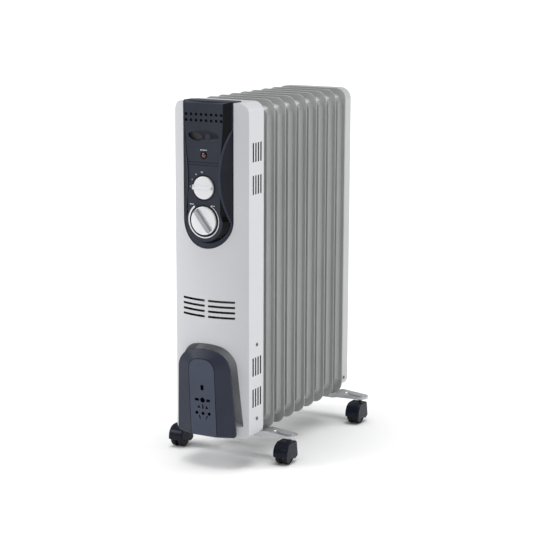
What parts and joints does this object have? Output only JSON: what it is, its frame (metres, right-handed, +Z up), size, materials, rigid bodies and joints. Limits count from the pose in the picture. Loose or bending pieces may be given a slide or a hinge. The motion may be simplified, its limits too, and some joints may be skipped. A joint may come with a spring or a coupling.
{
  "type": "oil filled radiator heater",
  "caption": "Upright finned column radiator on swivel castors, with a bowed front cover, dark control panel, two knobs and an arched cord storage plate.",
  "frame": {"origin": "on the floor, under the centre of the whole heater", "axes": "+Z up, -Y to the front where the controls are, +X to the right seen from behind the heater and facing the same way as it does"},
  "size_m": [0.2438, 0.4306, 0.633],
  "materials": {
    "white_enamel": "satin enamel",
    "charcoal_plastic": "satin",
    "matte_black_plastic": "fine texture",
    "silver_knob": "silver lacquer",
    "zinc_steel": "zinc plated",
    "black_rubber": "matte",
    "lamp_lens": "clear tinted",
    "brown_phenolic": "moulded"
  },
  "bodies": {
    "heater_body": {"control_chassis": "zinc_steel", "control_panel": "charcoal_plastic", "cord_inlet_bush": "black_rubber", "cord_store_plate": "charcoal_plastic", "cover_screw_left_lower": "zinc_steel", "cover_screw_left_upper": "zinc_steel", "cover_screw_right_lower": "zinc_steel", "cover_screw_right_upper": "zinc_steel", "element_gasket": "black_rubber", "end_cover": "white_enamel", "end_screw_left": "zinc_steel", "end_screw_right": "zinc_steel", "fin_1": "white_enamel", "fin_2": "white_enamel", "fin_3": "white_enamel", "fin_4": "white_enamel", "fin_5": "white_enamel", "fin_6": "white_enamel", "fin_7": "white_enamel", "fin_8": "white_enamel", "fin_9": "white_enamel", "front_cover": "white_enamel", "front_foot_plate": "zinc_steel", "front_hook_bolt": "zinc_steel", "front_left_stem": "zinc_steel", "front_right_stem": "zinc_steel", "front_wing_nut": "zinc_steel", "heating_element": "zinc_steel", "pilot_lamp": "lamp_lens", "rear_foot_plate": "zinc_steel", "rear_hook_bolt": "zinc_steel", "rear_left_stem": "zinc_steel", "rear_right_stem": "zinc_steel", "rear_wing_nut": "zinc_steel", "selector_switch": "brown_phenolic", "side_insert_left": "matte_black_plastic", "side_insert_right": "matte_black_plastic", "terminal_block": "brown_phenolic", "thermal_cutout": "zinc_steel", "thermostat_unit": "brown_phenolic"},
    "selector": {"selector_knob": "silver_knob", "selector_shaft": "zinc_steel"},
    "thermostat": {"thermostat_knob": "silver_knob", "thermostat_shaft": "zinc_steel"},
    "front_left_castor": {"front_left_hood": "charcoal_plastic", "front_left_axle": "zinc_steel"},
    "front_left_wheel_left_body": {"front_left_wheel_left": "black_rubber"},
    "front_left_wheel_right_body": {"front_left_wheel_right": "black_rubber"},
    "front_right_castor": {"front_right_hood": "charcoal_plastic", "front_right_axle": "zinc_steel"},
    "front_right_wheel_left_body": {"front_right_wheel_left": "black_rubber"},
    "front_right_wheel_right_body": {"front_right_wheel_right": "black_rubber"},
    "rear_left_castor": {"rear_left_hood": "charcoal_plastic", "rear_left_axle": "zinc_steel"},
    "rear_left_wheel_left_body": {"rear_left_wheel_left": "black_rubber"},
    "rear_left_wheel_right_body": {"rear_left_wheel_right": "black_rubber"},
    "rear_right_castor": {"rear_right_hood": "charcoal_plastic", "rear_right_axle": "zinc_steel"},
    "rear_right_wheel_left_body": {"rear_right_wheel_left": "black_rubber"},
    "rear_right_wheel_right_body": {"rear_right_wheel_right": "black_rubber"}
  },
  "joints": [
    {"name": "selector_turn", "type": "hinge", "parent": "heater_body", "child": "selector", "pos_m": [0, -0.20219, 0.489], "axis": [0, -1, 0], "range_deg": [-80, 0]},
    {"name": "thermostat_turn", "type": "hinge", "parent": "heater_body", "child": "thermostat", "pos_m": [0, -0.20219, 0.4335], "axis": [0, -1, 0], "range_deg": [-240, 30]},
    {"name": "front_left_swivel", "type": "hinge", "parent": "heater_body", "child": "front_left_castor", "pos_m": [-0.1071, -0.09366, 0.039], "axis": [0, 0, 1], "continuous": true},
    {"name": "front_left_wheel_left_roll", "type": "hinge", "parent": "front_left_castor", "child": "front_left_wheel_left_body", "pos_m": [-0.1071, -0.11266, 0.015], "axis": [1, 0, 0], "continuous": true},
    {"name": "front_left_wheel_right_roll", "type": "hinge", "parent": "front_left_castor", "child": "front_left_wheel_right_body", "pos_m": [-0.1071, -0.11266, 0.015], "axis": [1, 0, 0], "continuous": true},
    {"name": "front_right_swivel", "type": "hinge", "parent": "heater_body", "child": "front_right_castor", "pos_m": [0.1071, -0.09366, 0.039], "axis": [0, 0, 1], "continuous": true},
    {"name": "front_right_wheel_left_roll", "type": "hinge", "parent": "front_right_castor", "child": "front_right_wheel_left_body", "pos_m": [0.1071, -0.11266, 0.015], "axis": [1, 0, 0], "continuous": true},
    {"name": "front_right_wheel_right_roll", "type": "hinge", "parent": "front_right_castor", "child": "front_right_wheel_right_body", "pos_m": [0.1071, -0.11266, 0.015], "axis": [1, 0, 0], "continuous": true},
    {"name": "rear_left_swivel", "type": "hinge", "parent": "heater_body", "child": "rear_left_castor", "pos_m": [-0.1071, 0.19134, 0.039], "axis": [0, 0, 1], "continuous": true},
    {"name": "rear_left_wheel_left_roll", "type": "hinge", "parent": "rear_left_castor", "child": "rear_left_wheel_left_body", "pos_m": [-0.1071, 0.17234, 0.015], "axis": [1, 0, 0], "continuous": true},
    {"name": "rear_left_wheel_right_roll", "type": "hinge", "parent": "rear_left_castor", "child": "rear_left_wheel_right_body", "pos_m": [-0.1071, 0.17234, 0.015], "axis": [1, 0, 0], "continuous": true},
    {"name": "rear_right_swivel", "type": "hinge", "parent": "heater_body", "child": "rear_right_castor", "pos_m": [0.1071, 0.19134, 0.039], "axis": [0, 0, 1], "continuous": true},
    {"name": "rear_right_wheel_left_roll", "type": "hinge", "parent": "rear_right_castor", "child": "rear_right_wheel_left_body", "pos_m": [0.1071, 0.17234, 0.015], "axis": [1, 0, 0], "continuous": true},
    {"name": "rear_right_wheel_right_roll", "type": "hinge", "parent": "rear_right_castor", "child": "rear_right_wheel_right_body", "pos_m": [0.1071, 0.17234, 0.015], "axis": [1, 0, 0], "continuous": true}
  ]
}
